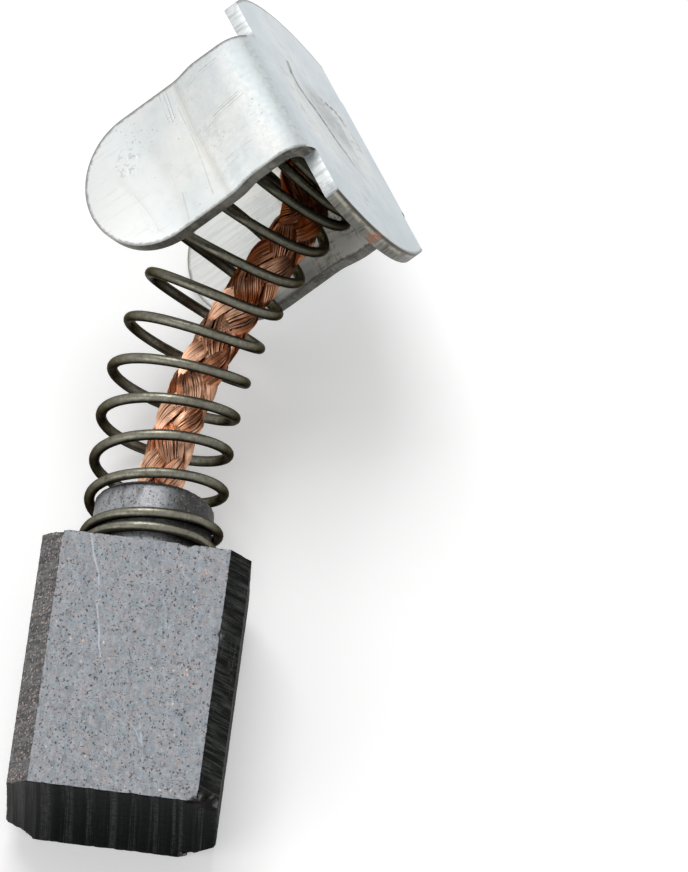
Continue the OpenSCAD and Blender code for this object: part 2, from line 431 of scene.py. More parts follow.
def springPath():
    wire = spring["wire"]
    coil = (block["thick"] - 2 * spring["inset"] - wire) / 2
    foot = Vector((0, shoulder + block["boss"], axisHeight))
    head = (cap["middle"] + spring["shift"][0] * along + spring["shift"][1] * across
            - (cap["sheet"] + spring["gap"] + wire / 2) * outward)
    step = head - foot
    line = [foot, foot + Vector((0, spring["footShare"] * step.y, 0)), foot + shares(step, spring["belly"]),
            head - spring["lastStraight"] * outward, head]
    samples = spring["samples"]
    places, heads, length = sampleLine(line, samples)
    total = length + block["boss"]
    turns = spring["turns"]
    ease, close = spring["ease"], wire + spring["endGap"]

    def eased(x):
        return 0 if x < 0 else x - 0.5 if x > 1 else x ** 3 - x ** 4 / 2

    def smooth(x):
        x = min(max(x, 0), 1)
        return x * x * (3 - 2 * x)

    def leaning(u):
        # the coils lean, with their backs towards the disc, but not where they lie on it or on the shoulder
        begun = smooth((u - spring["shoulderTurns"] + spring["leanEarly"]) / spring["leanOver"])
        ended = smooth(u - turns + spring["discTurns"] + spring["leanLate"])
        return begun * (1 - ended)

    def openTurns(u):
        return ease * (eased((u - spring["shoulderTurns"]) / ease)
                       - eased((u - turns + spring["discTurns"] + ease) / ease))

    opened = openTurns(turns)
    pitch = (total - wire / 2 - close * (turns - opened)) / opened
    path = []
    count = int(turns * spring["steps"])
    for i in range(count + 1):
        u = turns * i / count
        run = wire / 2 + close * (u - openTurns(u)) + pitch * openTurns(u)
        if run < block["boss"]:
            middle, flow = Vector((0, shoulder + run, axisHeight)), Vector((0, 1, 0))
        else:
            at = min((run - block["boss"]) / length * samples, samples - 0.001)
            low = int(at)
            middle = places[low].lerp(places[low + 1], at - low)
            flow = heads[low].lerp(heads[low + 1], at - low).normalized()
        side, rise = sideAndRise(flow)
        angle = math.radians(spring["start"] - 360 * u)
        path.append(middle + coil * (math.cos(angle) * side + math.sin(angle) * rise)
                    + spring["lean"] * leaning(u) * (1 - math.sin(angle)) * flow)
    return path


def makeSpring():
    piece = tubes("spring", [springPath()], spring["wire"] / 2, spring["sides"])
    smoothShade(piece, 50)
    toMetres(piece)
    return piece


shunt = {
    "leave": 0.06, "lowBend": (0.145, 1.04, 0.22), "highBend": (1.93, 0.7, 0.54), "headStraight": 4,
    "tail": (-1.2, -0.9, -0.6, -0.3),      # where it goes on below the top of the boss
    "across": 2.4, "bundles": 4, "lead": 13, "headGap": 0.04, "steps": 98,
    "wire": 0.094, "wires": 24, "bundleWide": 1.42, "bundleThick": 0.34, "weave": 0.11, "sink": 0.02,
    "round": 96,      # degrees to each side of a bundle's back that its wires cover
    "pinch": 0.4, "roll": 0.8, "own": 0.22, "stray": 0.05, "core": 0.66, "fill": 0.42,
}
bundleReach = shunt["across"] / 2 - shunt["bundleThick"] / 2 - shunt["weave"] + shunt["sink"]


def shuntLine():
    foot = Vector((0, shoulder + block["boss"], axisHeight))
    head = cap["middle"] - (cap["sheet"] + shunt["headGap"]) * outward
    step = head - foot
    line = [foot, foot + Vector((0, shunt["leave"] * step.y, 0)), foot + shares(step, shunt["lowBend"]),
            foot + shares(step, shunt["highBend"]), head - shunt["headStraight"] * outward, head]
    places, heads, length = sampleLine(line, shunt["steps"])
    tail = [foot + Vector((0, run, 0)) for run in shunt["tail"]]
    runs = [length * i / shunt["steps"] for i in range(shunt["steps"] + 1)]
    return tail + places, [Vector((0, 1, 0))] * len(tail) + heads, list(shunt["tail"]) + runs


def bundleTrack(number, way, line):
    # one bundle's middle, its way out, its way across and its half width, at each step of the line
    start = 2 * math.pi * number / shunt["bundles"]
    track = []
    for place, head, run in zip(*line):
        side, rise = sideAndRise(head)
        angle = start + way * 2 * math.pi * run / shunt["lead"]
        # over one crossing bundle and under the next
        over = math.cos(shunt["bundles"] * angle + (0 if way > 0 else math.pi))
        reach = bundleReach + shunt["weave"] * over
        out = math.cos(angle) * side + math.sin(angle) * rise
        ring = -math.sin(angle) * side + math.cos(angle) * rise
        climb = way * 2 * math.pi * bundleReach / shunt["lead"]
        flow = (head + climb * ring).normalized()
        half = shunt["bundleWide"] / 2 * (1 - shunt["pinch"] * (0.5 - 0.5 * over))
        track.append((place + reach * out, out, out.cross(flow).normalized(), half))
    return track


def wirePath(track, spread, seed, own):
    # one wire on its bundle's back, which rolls to and fro, and strays a little by itself
    path = []
    for i, (centre, out, wide, half) in enumerate(track):
        roll = shunt["roll"] * noise.noise(Vector((i * 0.06, seed, 3)))
        lean = spread + roll + shunt["own"] * noise.noise(Vector((i * 0.09, own, seed)))
        lift = shunt["stray"] * noise.noise(Vector((i * 0.2, own, 7)))
        path.append(centre + half * math.sin(lean) * wide
                    + (shunt["bundleThick"] / 2 * math.cos(lean) + lift - shunt["wire"] / 2) * out)
    return path


def noteTones(piece, steps, wireCount):
    # each wire's own shade of copper, changing along its bundle: "tone", from 0 to 1
    tone = piece.data.attributes.new("tone", "FLOAT", "POINT")
    corners = 4      # round each wire
    tones = [random.random() for _ in range(wireCount)]
    for i, value in enumerate(tone.data):
        if i < corners * steps * wireCount:
            wire, step = i // (corners * steps), i % (corners * steps) // corners
            leaf = noise.noise(Vector((step * 0.16, wire // shunt["wires"] * 9.7, 2)))
            value.value = min(1, max(0, 0.35 * tones[wire] + 0.32 + 0.95 * leaf))


def noteHeights(piece, places, heads):
    # how far each point stands out of the plait, for the painted shade between the bundles: "proud", from 0
    # to 1
    tree = KDTree(len(places))
    for i, place in enumerate(places):
        tree.insert(place, i)
    tree.balance()
    proud = piece.data.attributes.new("proud", "FLOAT", "POINT")
    low, high = bundleReach - 0.1, shunt["across"] / 2
    for vertex, value in zip(piece.data.vertices, proud.data):
        near, index, _ = tree.find(vertex.co)
        away = vertex.co - near
        away = away - away.dot(heads[index]) * heads[index]
        value.value = min(1, max(0, (away.length - low) / (high - low)))


def makeShunt():
    random.seed(5)
    line = shuntLine()
    places, heads, _ = line
    wires = []
    middles = []
    for way in (1, -1):
        for number in range(shunt["bundles"]):
            track = bundleTrack(number, way, line)
            middles.append([step[0] for step in track])
            seed = random.uniform(0, 60)
            for k in range(shunt["wires"]):
                spread = math.radians(shunt["round"] * (2 * k / (shunt["wires"] - 1) - 1))
                own = random.uniform(0, 100)
                wires.append(wirePath(track, spread, seed, own))
    core = tubes("core", [places], shunt["core"], 10)
    fill = tubes("fill", middles, shunt["bundleThick"] * shunt["fill"], 6)
    piece = tubes("shuntPlait", wires, shunt["wire"] / 2, 4)
    clearSelection()
    for thing in (core, fill, piece):
        thing.select_set(True)
    bpy.context.view_layer.objects.active = piece
    bpy.ops.object.join()
    noteHeights(piece, places, heads)
    noteTones(piece, len(places), len(wires))
    smoothShade(piece, 60)
    toMetres(piece)
    return piece


def earRows():
    # the ear's outer face seen edge-on, with the half width at each place
    rows = []
    half = cap["earWide"] / 2
    outer = cap["cut"] / 2 + cap["fold"]
    inner = outer - cap["setIn"]
    hub = cap["earLong"] - half
    top = -cap["fold"] - cap["upper"]
    steps = cap["foldSteps"]
    for i in range(1, steps + 1):
        a = math.pi / 2 * i / steps
        rows.append((cap["cut"] / 2 + cap["fold"] * math.sin(a), -cap["fold"] * (1 - math.cos(a)), half))
    for i in range(steps + 1):
        t = i / steps
        moved = cap["setIn"] * (0.5 - 0.5 * math.cos(math.pi * t))
        rows.append((outer - moved, top - cap["setLong"] * t, half))
    rows.append((inner, -hub, half))
    for i in range(1, cap["tipSteps"]):
        a = math.pi / 2 * i / cap["tipSteps"]
        rows.append((inner, -hub - half * math.sin(a), half * math.cos(a)))
    rows.append((inner, -hub - half, cap["earTip"]))
    return rows


def foldEar(piece, way):
    # draws the ear out of one of the disc's cuts, row by row
    shift, half, wide = cap["earShift"], cap["cut"] / 2, cap["earWide"] / 2
    pickVertices(piece, lambda co: abs(co.y - way * half) < 1e-4 and abs(co.x - shift) < wide + 1e-4)
    y, z = half, 0.0
    for rowY, rowZ, rowWide in earRows():
        bpy.ops.mesh.extrude_region_move(
            TRANSFORM_OT_translate={"value": (0, way * (rowY - y), rowZ - z)})
        if abs(rowWide - wide) > 1e-6:
            bpy.ops.transform.resize(value=(rowWide / wide, 1, 1),
                                     center_override=(shift, way * rowY, rowZ))
        y, z, wide = rowY, rowZ, rowWide


def makeTerminal(faceMaterial, edgeMaterial):
    clearSelection()
    bpy.ops.mesh.primitive_circle_add(vertices=144, radius=cap["disc"] / 2, fill_type="NGON")
    piece = bpy.context.object
    piece.name = "terminalSheet"
    bpy.ops.object.mode_set(mode="EDIT")
    for way in (1, -1):
        bpy.ops.mesh.select_all(action="SELECT")
        bpy.ops.mesh.bisect(plane_co=(0, way * cap["cut"] / 2, 0), plane_no=(0, way, 0),
                            clear_outer=True, threshold=1e-5)
    for way in (-1, 1):
        bpy.ops.mesh.select_all(action="SELECT")
        bpy.ops.mesh.bisect(plane_co=(cap["earShift"] + way * cap["earWide"] / 2, 0, 0),
                            plane_no=(1, 0, 0), threshold=1e-5)
    for way in (1, -1):
        foldEar(piece, way)
    bpy.ops.mesh.select_all(action="SELECT")
    bpy.ops.mesh.normals_make_consistent(inside=False)
    bpy.ops.object.mode_set(mode="OBJECT")
    if piece.data.polygons[0].normal.z < 0:
        bpy.ops.object.mode_set(mode="EDIT")
        bpy.ops.mesh.select_all(action="SELECT")
        bpy.ops.mesh.flip_normals()
        bpy.ops.object.mode_set(mode="OBJECT")
    piece.data.materials.append(faceMaterial)
    piece.data.materials.append(edgeMaterial)
    applyModifier(piece, "SOLIDIFY", thickness=cap["sheet"], offset=-1, use_even_offset=True,
                  material_offset_rim=1)
    clearSelection()
    middle, slope = cap["mark"] / 2, cap["markSlope"]
    bpy.ops.mesh.primitive_cone_add(vertices=96, radius1=middle - slope, radius2=middle + slope,
                                    depth=2 * cap["markDeep"])
    punch = bpy.context.object
    applyModifier(piece, "BOOLEAN", operation="DIFFERENCE", object=punch, solver="EXACT")
    bpy.data.objects.remove(punch)
    applyModifier(piece, "BEVEL", width=cap["edgeRound"], segments=2, limit_method="ANGLE",
                  angle_limit=math.radians(40), material=1)
    mergeCorners(piece, 5e-4)
    smoothShade(piece, 34)
    piece.matrix_world = Matrix.Scale(mm, 4) @ Matrix.Translation(cap["middle"]) @ capTurn.to_4x4()
    applyPlace(piece)
    return piece


carbon = {
    "grain": 0.1,      # size of the mesh's squares
    "roughFace": 0.005, "roughEdge": 0.016, "edgeReach": 0.32, "crumbs": 2.6,
    "chips": [         # place, reach, depth
        ((5.2, -7.1, 7.0), 0.75, 0.5), ((4.3, -7.0, 7.5), 0.5, 0.28), ((-4.5, 7.15, 7.5), 0.4, 0.2),
        ((-1.2, -6.9, 7.6), 0.35, 0.14), ((2.1, 7.2, 7.6), 0.4, 0.12), ((4.4, 2.4, 7.6), 0.35, 0.1),
        ((-4.4, -2.8, 7.6), 0.4, 0.1), ((4.0, -7.0, 0.3), 0.6, 0.3),
    ],
}


def sharpEdges(piece):
    # points along the edges where two faces meet at more than 30 degrees, to know where the carbon crumbles
    corners = piece.data.vertices
    faces = {}
    for face in piece.data.polygons:
        for key in face.edge_keys:
            faces.setdefault(key, []).append(face.normal.copy())
    points = []
    for key, normals in faces.items():
        if len(normals) == 2 and normals[0].angle(normals[1], 0) > math.radians(30):
            a, b = corners[key[0]].co, corners[key[1]].co
            steps = max(1, int((b - a).length / carbon["grain"]))
            points += [a.lerp(b, i / steps) for i in range(steps + 1)]
    tree = KDTree(len(points))
    for i, point in enumerate(points):
        tree.insert(point, i)
    tree.balance()
    return tree


def wornAway(co, edges):
    # how far a point of the block's face goes out: below 0 where the carbon has crumbled or chipped
    edge = max(0, 1 - edges.find(co)[2] / carbon["edgeReach"])
    crumble = max(0, noise.fractal(co * carbon["crumbs"], 1.0, 2.1, 4) + 0.12)
    out = carbon["roughFace"] * noise.noise(co * 7) - carbon["roughEdge"] * edge * (0.35 + 3.2 * crumble)
    for place, reach, depth in carbon["chips"]:
        far = (co - Vector(place)).length / reach + 0.35 * noise.noise(co * 3.3)
        if far < 1:
            out -= depth * (1 - far) * (1 + 0.5 * noise.noise(co * 6))
    return out


def makeBlock():
    source = bpy.data.objects["carbon_block"]
    piece = source.copy()
    piece.data = source.data.copy()
    piece.name = "carbonBlock"
    bpy.context.scene.collection.objects.link(piece)
    piece.scale = (1 / mm, 1 / mm, 1 / mm)
    applyPlace(piece)
    mergeCorners(piece, 1e-4, dropFlat=False)
    edges = sharpEdges(piece)
    applyModifier(piece, "REMESH", mode="VOXEL", voxel_size=carbon["grain"], adaptivity=0)
    normals = [vertex.normal.copy() for vertex in piece.data.vertices]
    for vertex, normal in zip(piece.data.vertices, normals):
        vertex.co = vertex.co + wornAway(vertex.co.copy(), edges) * normal
    mergeCorners(piece, 5e-4)
    smoothShade(piece, 38)
    toMetres(piece)
    return piece


marks = {
    # lines as points, width and strength, in millimetres: on the block's front from the frame's origin,
    # and on the ear and the disc from the disc's middle
    "frontScratches": [
        ([(-3.01, 7.18), (-2.6, 6.0), (-2.25, 4.83), (-2.09, 3.12), (-1.84, 2.0), (-1.79, 1.0),
          (-1.58, 0.18)], 0.075, 0.75),
        ([(1.91, 6.12), (2.13, 5.42)], 0.06, 0.6),
        ([(1.47, 3.9), (1.7, 1.06)], 0.1, 0.3),
        ([(0.89, -2.77), (0.97, -3.61), (1.25, -4.56)], 0.07, 0.55),
        ([(0.68, -3.5), (1.1, -4.3)], 0.06, 0.45),
    ],
    "frontCracks": [([(-0.15, 0.9), (0.05, 0.2), (0.0, -0.4), (0.25, -1.2)], 0.05, 0.6)],
    "earCreases": [
        ([(-3.9, -4.7), (-1.1, -5.03), (1.74, -5.0), (3.9, -4.8)], 0.36, 0.35),
        ([(-3.2, -4.75), (-1.1, -4.98), (0.9, -5.0)], 0.1, 0.45),
        ([(0.2, -5.0), (1.74, -4.96), (3.6, -4.8)], 0.12, 0.35),
        ([(-1.5, -7.35), (0.5, -7.44), (2.1, -7.37), (3.8, -7.7)], 0.5, 0.13),
        ([(0.6, -7.3), (2.1, -7.3), (3.7, -7.6)], 0.09, 0.2),
        ([(-1.2, -9.8), (1.2, -9.3), (2.7, -9.17), (3.6, -8.9)], 0.35, 0.12),
        ([(0.3, -9.5), (1.2, -9.33), (2.7, -9.2), (3.5, -8.95)], 0.09, 0.3),
    ],
    "earScratches": [
        ([(-0.47, -5.05), (-0.75, -1.97)], 0.05, 0.6), ([(-0.62, -4.9), (-0.9, -1.8)], 0.04, 0.45),
        ([(-0.3, -4.6), (-0.62, -1.6)], 0.04, 0.4), ([(1.89, -4.2), (2.04, -2.38)], 0.05, 0.3),
        ([(2.3, -4.3), (2.4, -2.6)], 0.05, 0.25), ([(-3.33, -3.3), (-3.41, -1.79)], 0.06, 0.35),
        ([(-3.1, -4.0), (-3.25, -1.9)], 0.05, 0.25),
        ([(-3.8, -5.35), (-2.1, -5.6)], 0.05, 0.5), ([(-3.85, -5.55), (-2.0, -5.8)], 0.05, 0.45),
        ([(-3.8, -5.8), (-2.3, -6.0)], 0.05, 0.4), ([(-2.5, -5.2), (0.0, -5.3), (3.1, -5.68)], 0.06, 0.35),
        ([(1.9, -7.15), (3.5, -7.5)], 0.05, 0.4),
    ],
    "discScrape": [(-3.9, -1.35), (-2.9, -1.75), (-1.62, -1.17), (-0.78, -0.53), (0.3, -0.11),
                   (0.84, 0.11), (1.47, 0.59), (2.4, 1.03), (3.2, 1.5)],
    "discNicks": [(-2.5, 1.4), (-2.36, 2.2), (-2.2, 2.9), (-1.5, 3.1)],
}

carbonLook = {
    "ground": (0.335, 0.362, 0.398), "groundPale": (0.40, 0.425, 0.46), "groundDark": (0.22, 0.23, 0.245),
    "groundGlint": (0.55, 0.60, 0.64), "groundPore": (0.17, 0.175, 0.19),
    "blotchDark": (0.20, 0.21, 0.22), "blotchPale": (0.50, 0.545, 0.58),
    "warm": (0.44, 0.37, 0.36), "cool": (0.29, 0.37, 0.41),
    "streakDark": (0.22, 0.23, 0.25), "streakPale": (0.50, 0.52, 0.55),
    "sawnDark": (0.075, 0.073, 0.074), "sawnPale": (0.205, 0.20, 0.20),
    "sawnPore": (0.06, 0.058, 0.06), "sawnGlint": (0.30, 0.29, 0.29),
    # the side colours are painted shade, for the faces that look to the right
    "shadedSideDark": (0.006, 0.0065, 0.006), "shadedSidePale": (0.06, 0.065, 0.06), "shadedSideGlint": (0.11, 0.11, 0.105),
    # the boss has a painted sheen down its front, and is darker to each side
    "turned": (0.055, 0.056, 0.055), "paintedSheen": (0.36, 0.372, 0.39), "mottle": (0.09, 0.09, 0.09),
    "turnedPore": (0.12, 0.12, 0.12), "bossRim": (0.08, 0.08, 0.08),
    # the end face is painted near black as painted shade, with paler rubbed lines
    "endShadeDark": (0.001, 0.0015, 0.0015), "wornPale": (0.044, 0.046, 0.045),
    "endLeftPale": (0.083, 0.086, 0.083),
    "pore": (0.05, 0.05, 0.055), "fleck": (0.58, 0.43, 0.39), "spark": (0.66, 0.44, 0.32),
    "scratch": (0.62, 0.68, 0.74), "crack": (0.05, 0.05, 0.05), "chip": (0.02, 0.018, 0.017),
    "ridges": 1.15,      # how far apart, in millimetres
}


def carbonGrain(paint):
    # the patterns that the block's faces share
    ragged = paint.warped(0.00009, 8000)
    grains = paint.cells(12500, ragged, "Color")
    clumps = paint.cells(1, paint.stretched((12500, 8000, 12500), ragged), "Color")
    return {
        "chance": paint.axis("X", grains), "other": paint.axis("Y", grains),
        "third": paint.axis("Z", grains), "fine": paint.noise(6500, 3, 0.75),
        "clump": paint.axis("X", clumps), "sparkClump": paint.axis("Y", clumps),
        "streaks": paint.noise(1, 4, 0.7, paint.stretched((3200, 420, 3200))),
        "cutLines": paint.noise(1, 4, 0.7, paint.stretched((500, 5200, 500))),
        "blotch": paint.noise(1, 4, 0.75, paint.stretched((3300, 1900, 3300))),
    }


def groundFace(paint, grain):
    look, blotch, streaks = carbonLook, grain["blotch"], grain["streaks"]
    tone = paint.mix(paint.noise(380, 4, 0.6).ramp(0.3, 0.7), look["ground"], look["groundPale"])
    tone = paint.mix(grain["chance"] * 0.35, tone, look["groundDark"])
    tone = paint.mix(grain["other"].ramp(0.6, 1) * 0.4, tone, look["groundGlint"])
    tone = paint.mix(grain["fine"].ramp(0.5, 0.7) * 0.2, tone, look["groundPore"])
    tone = paint.mix(blotch.ramp(0.5, 0.68) * 0.6, tone, look["blotchDark"])
    tone = paint.mix(blotch.ramp(0.5, 0.34) * 0.55, tone, look["blotchPale"])
    tint = paint.noise(1900, 3, 0.6, None, "Color")
    tone = paint.mix(paint.axis("X", tint).ramp(0.5, 0.66) * 0.4, tone, look["warm"])
    tone = paint.mix(paint.axis("Y", tint).ramp(0.5, 0.66) * 0.4, tone, look["cool"])
    tone = paint.mix(streaks.ramp(0.54, 0.7) * 0.35, tone, look["streakPale"])
    return paint.mix(streaks.ramp(0.46, 0.3) * 0.4, tone, look["streakDark"])


def sawnFace(paint, grain):
    look = carbonLook
    tone = paint.mix(grain["cutLines"].ramp(0.3, 0.7), look["sawnDark"], look["sawnPale"])
    tone = paint.mix(grain["chance"].ramp(0.5, 1) * 0.45, tone, look["sawnPore"])
    return paint.mix(grain["other"].ramp(0.6, 1) * 0.4, tone, look["sawnGlint"])


def paintedShadeFace(paint, grain):
    # painted shade: the faces that look to the right are painted near black, with paler lines and a few
    # glints
    look = carbonLook
    tone = paint.mix(grain["cutLines"].ramp(0.42, 0.7), look["shadedSideDark"], look["shadedSidePale"])
    glint = grain["streaks"].ramp(0.56, 0.66) * grain["other"].ramp(0.3, 0.7)
    return paint.mix(glint * 0.4, tone, look["shadedSideGlint"])


def turnedBoss(paint, grain, faceX, y):
    look, fine = carbonLook, grain["fine"]
    top = shoulder + block["boss"]
    # a painted sheen in a band down the boss, set by which way its faces look, fading to darker sides
    sheenBand = 1 - (faceX + 0.35).math("ABSOLUTE").ramp(0.35, 0.9)
    mottle = paint.noise(1, 4, 0.7, paint.stretched((1600, 900, 1600)))
    tone = paint.mix(sheenBand, look["turned"], look["paintedSheen"])
    tone = paint.mix(mottle.ramp(0.47, 0.68) * 0.65, tone, look["mottle"])
    tone = paint.mix(fine.ramp(0.45, 0.65) * 0.3, tone, look["turnedPore"])
    return paint.mix((y.ramp(top - 0.5, top - 0.2) + (fine - 0.5)).ramp(0.4, 0.8), tone, look["bossRim"])


def shadedWornEnd(paint, grain, x):
    # painted near black as painted shade, and rubbed by the commutator, in lines that run along its ridges;
    # paler towards its left edge
    look = carbonLook
    runLines = paint.noise(1, 4, 0.8, paint.stretched((5600, 60, 60)))
    ridge = (x * (2 * math.pi / look["ridges"])).math("COSINE").ramp(-0.6, 0.9)
    patchy = 0.35 + grain["blotch"].ramp(0.38, 0.62) * 0.9
    rubbed = runLines.ramp(0.44, 0.6) * (0.12 + 0.88 * ridge) * patchy
    tone = paint.mix(rubbed, look["endShadeDark"], look["wornPale"])
    return paint.mix(x.ramp(-2.8, -5.2) * (0.3 + 0.7 * runLines.ramp(0.35, 0.65)), tone, look["endLeftPale"])


def carbonFinish():
    look = carbonLook
    paint = Paint("carbonGraphite")
    grain = carbonGrain(paint)
    fine, third = grain["fine"], grain["third"]
    normal = paint.node("ShaderNodeNewGeometry", out="Normal")
    faceX, faceY, faceZ = (paint.axis(n, normal) for n in "XYZ")
    x, y = (paint.inMillimetres(n) for n in "XY")
    onBoss = y.ramp(shoulder - 0.05, shoulder + 0.2)
    ground = faceZ.math("ABSOLUTE").ramp(0.82, 0.97) * (1 - onBoss)
    # the end face: worn, and painted near black as painted shade
    worn = (faceY * -1).ramp(0.5, 0.9)
    # painted shade on every face that looks to the right
    right = faceX.ramp(0.3, 0.65) * (1 - onBoss)
    colour = paint.mix(ground, sawnFace(paint, grain), groundFace(paint, grain))
    colour = paint.mix(right, colour, paintedShadeFace(paint, grain))
    colour = paint.mix(onBoss, colour, turnedBoss(paint, grain, faceX, y))
    colour = paint.mix(worn, colour, shadedWornEnd(paint, grain, x))
    # pores and copper, except on the right side and the worn end, which are painted dark as painted shade
    dim = 1 - worn.math("MAXIMUM", right)
    speck = (1 - third.ramp(0.035, 0.06)) * dim
    pit = (1 - grain["clump"].ramp(0.02, 0.032)) * dim
    fleck = third.ramp(0.91, 0.93) * dim
    spark = grain["sparkClump"].ramp(0.988, 0.992) * grain["other"].ramp(0.35, 0.55) * dim * (1 - onBoss)
    colour = paint.mix(speck.math("MAXIMUM", pit) * 0.75, colour, look["pore"])
    colour = paint.mix(fleck * (0.6 - 0.4 * onBoss), colour, look["fleck"])
    colour = paint.mix(spark * 0.6, colour, look["spark"])
    # scratches and cracks on the front, and the chip at its right-hand corner, painted dark as painted
    # shade like the right side
    onFront = faceZ.ramp(0.9, 0.97) * (1 - onBoss)
    broken = paint.noise(1500, 3, 0.7).ramp(0.36, 0.55)
    wander = (paint.noise(500, 3) - 0.5) * 0.3
    scored = paint.lines(x + wander, y, marks["frontScratches"]) * broken * onFront
    cracked = paint.lines(x + wander, y, marks["frontCracks"]) * broken * onFront
    colour = paint.mix(scored, colour, look["scratch"])
    colour = paint.mix(cracked, colour, look["crack"])
    colour = paint.mix(paint.spot(carbon["chips"][0][0], 1.1, 0.4) * 0.9, colour, look["chip"])
    height = fine * 0.4 + grain["chance"] * 0.35 + paint.noise(1700, 3) * 0.5 - pit * 1.2 - speck * 0.6
    height = height + scored * 0.5 + grain["cutLines"] * (1 - ground) * 0.5
    return paint.finish({"Base Color": colour, "Roughness": 0.5 + fine * 0.3 - onBoss * 0.26,
                         "Metallic": (spark * 0.8).math("MAXIMUM", onBoss * 0.35),
                         "Normal": paint.bump(height, 0.00005, 0.8), "Specular IOR Level": 0.05})


steelLook = {
    # under and on top of the wire are painted shade and painted light
    "under": (0.018, 0.015, 0.009), "top": (0.195, 0.188, 0.15), "dirt": (0.065, 0.058, 0.042),
    "grainDark": (0.05, 0.044, 0.03), "litTopGrain": (0.36, 0.35, 0.29), "capShadow": (0.018, 0.017, 0.01),
    "tint": (0.35, 0.33, 0.27),
    # the painted shadow of the terminal reaches over this range
    "shade": (0.0185, 0.0275),      # where it darkens towards the terminal, in metres
}


def steelFinish():
    look = steelLook
    paint = Paint("springSteel")
    faceZ = paint.axis("Z", paint.node("ShaderNodeNewGeometry", out="Normal"))
    dirt = paint.noise(900, 4, 0.65)
    fine = paint.noise(7000, 2, 0.6)
    grain = paint.noise(3800, 4, 0.75)
    # painted shadow of the terminal on the coils near it
    far = paint.axis("Y").ramp(*look["shade"])
    # painted light on the top of the wire and painted shade under it, set by which way each face looks; the
    # pale grain shows only in the painted light
    top = (faceZ + (dirt - 0.5) * 0.5).ramp(-0.15, 0.85)
    colour = paint.mix(top, look["under"], look["top"])
    colour = paint.mix(dirt.ramp(0.5, 0.75) * 0.45, colour, look["dirt"])
    colour = paint.mix(grain.ramp(0.5, 0.7) * 0.6, colour, look["grainDark"])
    colour = paint.mix(grain.ramp(0.46, 0.32) * top * 0.5, colour, look["litTopGrain"])
    colour = paint.mix(far * 0.8, colour, look["capShadow"])
    return paint.finish({"Base Color": colour, "Roughness": 0.2 + 0.2 * dirt + 0.1 * grain - 0.06 * far,
                         "Metallic": 0.95, "Specular Tint": look["tint"],
                         "Normal": paint.bump(fine + grain * 0.8, 0.00002, 0.6)})


copperLook = {
    # the darkest colour is painted shade, for the wires that lie low between the bundles
    "dull": (0.17, 0.043, 0.011), "bright": (0.94, 0.56, 0.37), "between": (0.06, 0.013, 0.002),
    # near the terminal the plait carries its painted shadow, and near the boss painted light
    "capShadow": (0.085, 0.021, 0.004), "litNearBoss": (0.98, 0.64, 0.44), "tint": (0.72, 0.36, 0.19),
    "shade": (0.0188, 0.027), "glow": (0.0195, 0.013),      # towards the terminal and the boss, in metres
}


def copperFinish():
    look = copperLook
    paint = Paint("copperWire")
    proud, tone = (paint.node("ShaderNodeAttribute", {"attribute_name": name}, out="Fac")
                   for name in ("proud", "tone"))
    cloud = paint.noise(1300, 3, 0.6)
    # painted shadow of the terminal over the top of the plait, and painted light on its lower part near the
    # boss
    far = paint.axis("Y").ramp(*look["shade"])
    low = paint.axis("Y").ramp(*look["glow"])
    colour = paint.mix((tone * 0.8 + cloud * 0.5).ramp(0.3, 0.9), look["dull"], look["bright"])
    colour = paint.mix(far * 0.85, colour, look["capShadow"])
    colour = paint.mix(low * 0.35, colour, look["litNearBoss"])
    # painted shade on the wires that lie low between the bundles
    colour = paint.mix(proud.ramp(0.05, 0.6), look["between"], colour)
    return paint.finish({"Base Color": colour, "Roughness": 0.25 + 0.2 * cloud,
                         "Metallic": 0.97, "Specular Tint": look["tint"]})


def onCap(paint):
    # place on the terminal in metres: along its cuts, across them, out of its outer face
    back = capTurn.transposed()
    shift = -(back @ (cap["middle"] * mm))
    return paint.node("ShaderNodeMapping", None,
                      {"Vector": paint.coords, "Scale": (1, 1, 1),
                       "Rotation": tuple(back.to_euler("XYZ")), "Location": tuple(shift)})


def spotOnCap(paint, x, y, z, radius, edge):
    # a spot whose middle is given in millimetres from the middle of the disc
    return paint.spot(cap["middle"] + x * along + y * across + z * outward, radius, edge)


def fromRim(x, y, z):
    # how far a place is from the sheet's outline: on the disc and on the ears
    low = (z + cap["earLong"] - cap["earWide"] / 2).math("MINIMUM", 0)
    side = x - cap["earShift"]
    onEar = cap["earWide"] / 2 - (side * side + low * low) ** 0.5
    onDisc = cap["disc"] / 2 - (x * x + y * y) ** 0.5
    isDisc = z.ramp(-0.2, -0.1)
    return onEar * (1 - isDisc) + onDisc * isDisc


platedLook = {
    "ear": (0.585, 0.625, 0.635), "earWarm": (0.72, 0.72, 0.69), "earPatch": (0.50, 0.52, 0.51),
    # the fold's colours are a painted highlight and painted shade
    "earTip": (0.82, 0.835, 0.83), "foldShine": (0.76, 0.765, 0.75), "foldShade": (0.47, 0.505, 0.515),
    "setIn": (0.50, 0.54, 0.56), "disc": (0.51, 0.565, 0.60), "discPale": (0.60, 0.645, 0.665),
    "brushed": (0.42, 0.43, 0.41), "rolled": (0.46, 0.46, 0.42),
    # the inner side's colours are painted shade, with paler brushed and worked lines
    "dull": (0.30, 0.295, 0.26), "dullPale": (0.62, 0.62, 0.58),
    "pressed": (0.13, 0.12, 0.095), "pressedPale": (0.98, 0.96, 0.88),
    # the crease colour is painted shade along the dents
    "crease": (0.40, 0.385, 0.33), "scratch": (0.33, 0.33, 0.3), "foldLine": (0.33, 0.32, 0.28),
    # the disc's middle is painted shade, and its scrape line is partly painted shadow
    "dishShade": (0.34, 0.355, 0.365), "scrape": (0.13, 0.13, 0.12), "nick": (0.10, 0.10, 0.095),
    "spot": (0.18, 0.175, 0.16), "rim": (0.15, 0.148, 0.13),
}


